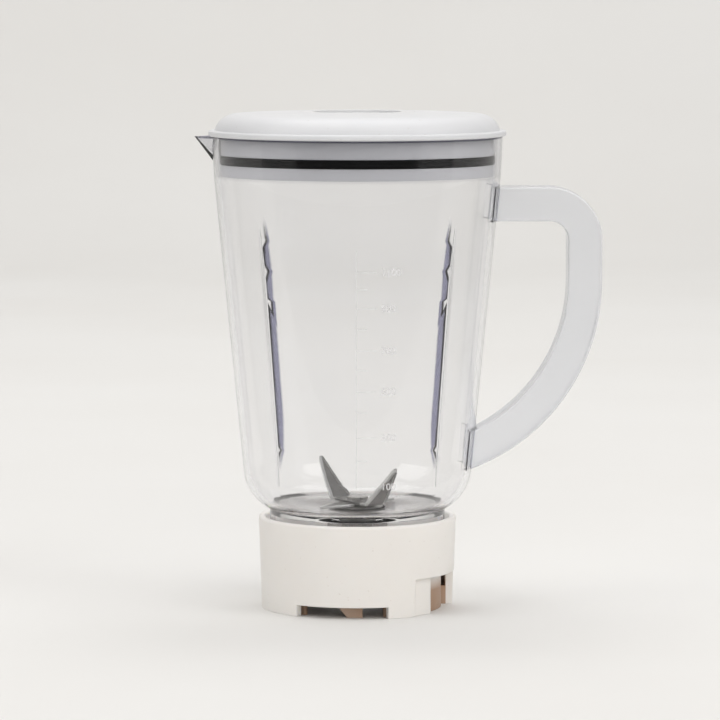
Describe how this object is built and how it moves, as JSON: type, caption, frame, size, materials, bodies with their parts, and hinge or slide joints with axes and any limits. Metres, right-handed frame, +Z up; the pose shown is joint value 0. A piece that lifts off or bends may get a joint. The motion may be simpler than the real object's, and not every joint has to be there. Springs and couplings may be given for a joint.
{
  "type": "countertop blender jar",
  "caption": "Clear tapered blender jar with D handle, pouring spout, inner ribs, bladed base unit, white twist-on collar and white plug lid.",
  "frame": {"origin": "centre of the collar's foot, on the jar's axis, at the mouth of the socket", "axes": "+Z up along the jar's axis, +X towards the handle, -X towards the spout"},
  "size_m": [0.194, 0.142, 0.2374],
  "materials": {
    "collar_white": "satin moulded",
    "jar_clear": "clear polished moulding",
    "handle_clear": "clear moulding, slightly milky",
    "lid_white": "satin white moulding",
    "cap_white": "satin white moulding",
    "seal_black": "soft matte",
    "blade_steel": "stamped and ground",
    "housing_steel": "turned",
    "bush_bronze": "sintered",
    "insert_brass": "turned",
    "coupling_grey": "moulded"
  },
  "bodies": {
    "collar": {"base_collar": "collar_white"},
    "jar": {"jar_body": "jar_clear", "handle": "handle_clear", "bearing_housing": "housing_steel", "housing_gasket": "seal_black", "lock_washer": "housing_steel", "housing_nut": "housing_steel", "upper_bush": "bush_bronze", "lower_bush": "bush_bronze", "shaft_seal": "seal_black"},
    "blade_rotor": {"spindle": "housing_steel", "thrust_washer": "bush_bronze", "lower_blade": "blade_steel", "upper_blade": "blade_steel", "blade_washer": "housing_steel", "blade_nut": "housing_steel", "circlip": "housing_steel", "drive_coupling": "coupling_grey", "coupling_insert": "insert_brass"},
    "lid": {"lid_shell": "lid_white", "lid_gasket": "seal_black"},
    "filler_cap": {"filler_cap": "cap_white"}
  },
  "joints": [
    {"name": "jar_twist", "type": "hinge", "parent": "collar", "child": "jar", "pos_m": [0, 0, 0.035], "axis": [0, 0, 1], "range_deg": [0, 25]},
    {"name": "blade_spin", "type": "hinge", "parent": "jar", "child": "blade_rotor", "pos_m": [0, 0, 0.045], "axis": [0, 0, 1], "continuous": true},
    {"name": "lid_lift", "type": "slide", "parent": "jar", "child": "lid", "axis": [0, 0, 1], "range_m": [0, 0.06]},
    {"name": "cap_lift", "type": "slide", "parent": "lid", "child": "filler_cap", "axis": [0, 0, 1], "range_m": [0, 0.05]}
  ]
}
